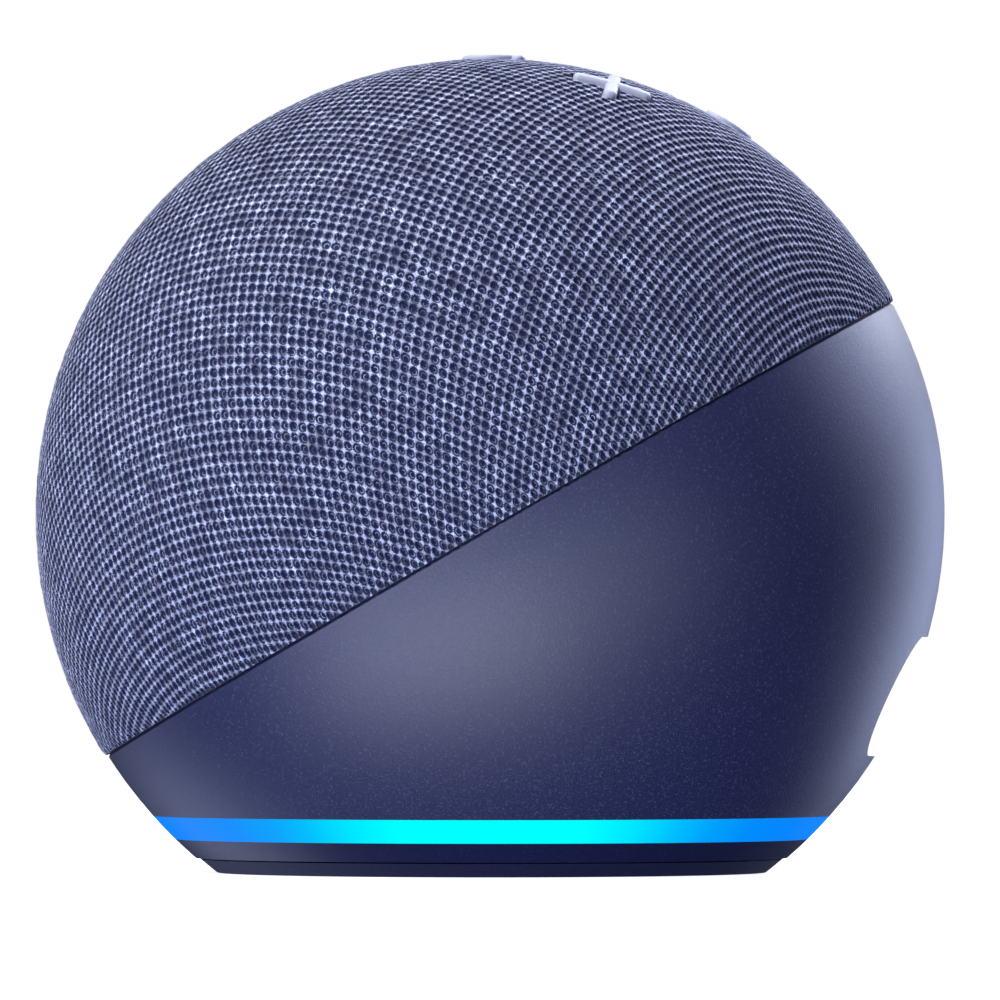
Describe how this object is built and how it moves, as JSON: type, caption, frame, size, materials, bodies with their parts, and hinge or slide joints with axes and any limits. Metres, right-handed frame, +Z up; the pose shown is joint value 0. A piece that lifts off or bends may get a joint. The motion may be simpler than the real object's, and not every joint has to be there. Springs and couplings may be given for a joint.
{
  "type": "smart speaker",
  "caption": "Ball-shaped table speaker with a tilted fabric dome, moulded housing, light ring round the foot, press buttons on top and a rear recess with power and audio sockets.",
  "frame": {"origin": "middle of the foot's underside, on the table", "axes": "+Z up; -Y the front (driver side); +Y the rear (socket recess); +X the right-hand side seen from the front"},
  "size_m": [0.1004, 0.1002, 0.0902],
  "materials": {
    "fabric": "knitted",
    "grille_black": "moulded",
    "housing": "fine matte texture",
    "base": "fine matte texture",
    "light": "translucent, lit cyan",
    "clear_guide": "clear moulding",
    "cap": "satin",
    "foot_rubber": "matte",
    "label": "printed film, blank",
    "cup": "satin",
    "black_plastic": "satin",
    "steel": "machined",
    "board_green": "solder mask",
    "led_white": "glossy",
    "can_steel": "tinned",
    "pad_grey": "soft",
    "sink": "die cast",
    "connector": "satin",
    "antenna_foil": "foil",
    "foam": "soft foam",
    "frame_metal": "satin black",
    "zinc_steel": "zinc plated",
    "ferrite": "sintered",
    "coil_copper": "enamelled wire",
    "paper_black": "pressed paper",
    "surround_rubber": "satin",
    "spider_cloth": "impregnated cloth",
    "terminal_board": "laminate",
    "lead_black": "satin",
    "switch_black": "satin",
    "plunger_white": "satin",
    "mic_metal": "plated",
    "flex_amber": "film"
  },
  "bodies": {
    "enclosure": {"fabric_cover": "fabric", "grille_shell": "grille_black", "button_guide": "grille_black", "lower_housing": "housing", "base_cover": "base", "light_ring": "light", "light_guide": "clear_guide", "foot_ring": "foot_rubber", "rating_label": "label", "port_cup": "cup", "power_jack": "black_plastic", "audio_jack": "black_plastic", "speaker_box_front": "black_plastic", "speaker_box_rear": "black_plastic", "power_jack_pin": "steel", "base_screws": "steel", "board_screws": "steel", "port_screws": "steel", "box_screws": "steel", "dome_screws": "steel", "driver_screws": "steel", "button_board_screws": "steel", "main_board": "board_green", "port_board": "board_green", "button_board": "board_green", "ring_leds": "led_white", "shield_can": "can_steel", "thermal_pad": "pad_grey", "heat_sink": "sink", "board_connectors": "connector", "port_cable": "connector", "wifi_antennas": "antenna_foil", "box_seal": "foam", "driver_gasket": "foam", "mic_gaskets": "foam", "driver_frame": "frame_metal", "top_plate": "zinc_steel", "yoke": "zinc_steel", "magnet": "ferrite", "surround": "surround_rubber", "spider": "spider_cloth", "driver_terminals": "terminal_board", "speaker_lead": "lead_black", "switch_bodies": "switch_black", "microphones": "mic_metal", "button_flex": "flex_amber"},
    "driver_cone": {"cone": "paper_black", "dust_cap": "paper_black", "voice_coil": "coil_copper"},
    "volume_up_key": {"volume_up_button": "cap", "volume_up_plunger": "plunger_white"},
    "volume_down_key": {"volume_down_button": "cap", "volume_down_plunger": "plunger_white"},
    "mute_key": {"mute_button": "cap", "mute_plunger": "plunger_white"},
    "action_key": {"action_button": "cap", "action_plunger": "plunger_white"}
  },
  "joints": [
    {"name": "cone_travel", "type": "slide", "parent": "enclosure", "child": "driver_cone", "axis": [0, -0.9781, 0.2079], "range_m": [-0.0012, 0.0012], "stiffness_N_per_m": 2000, "deforming": ["surround", "spider"]},
    {"name": "volume_up_press", "type": "slide", "parent": "enclosure", "child": "volume_up_key", "axis": [0, -0.2723, -0.9622], "range_m": [0, 0.0005], "stiffness_N_per_m": 800, "springref_m": -0.0002},
    {"name": "volume_down_press", "type": "slide", "parent": "enclosure", "child": "volume_down_key", "axis": [0, -0.2723, -0.9622], "range_m": [0, 0.0005], "stiffness_N_per_m": 800, "springref_m": -0.0002},
    {"name": "mute_press", "type": "slide", "parent": "enclosure", "child": "mute_key", "axis": [0, -0.2723, -0.9622], "range_m": [0, 0.0005], "stiffness_N_per_m": 800, "springref_m": -0.0002},
    {"name": "action_press", "type": "slide", "parent": "enclosure", "child": "action_key", "axis": [0, -0.2723, -0.9622], "range_m": [0, 0.0005], "stiffness_N_per_m": 800, "springref_m": -0.0002}
  ]
}
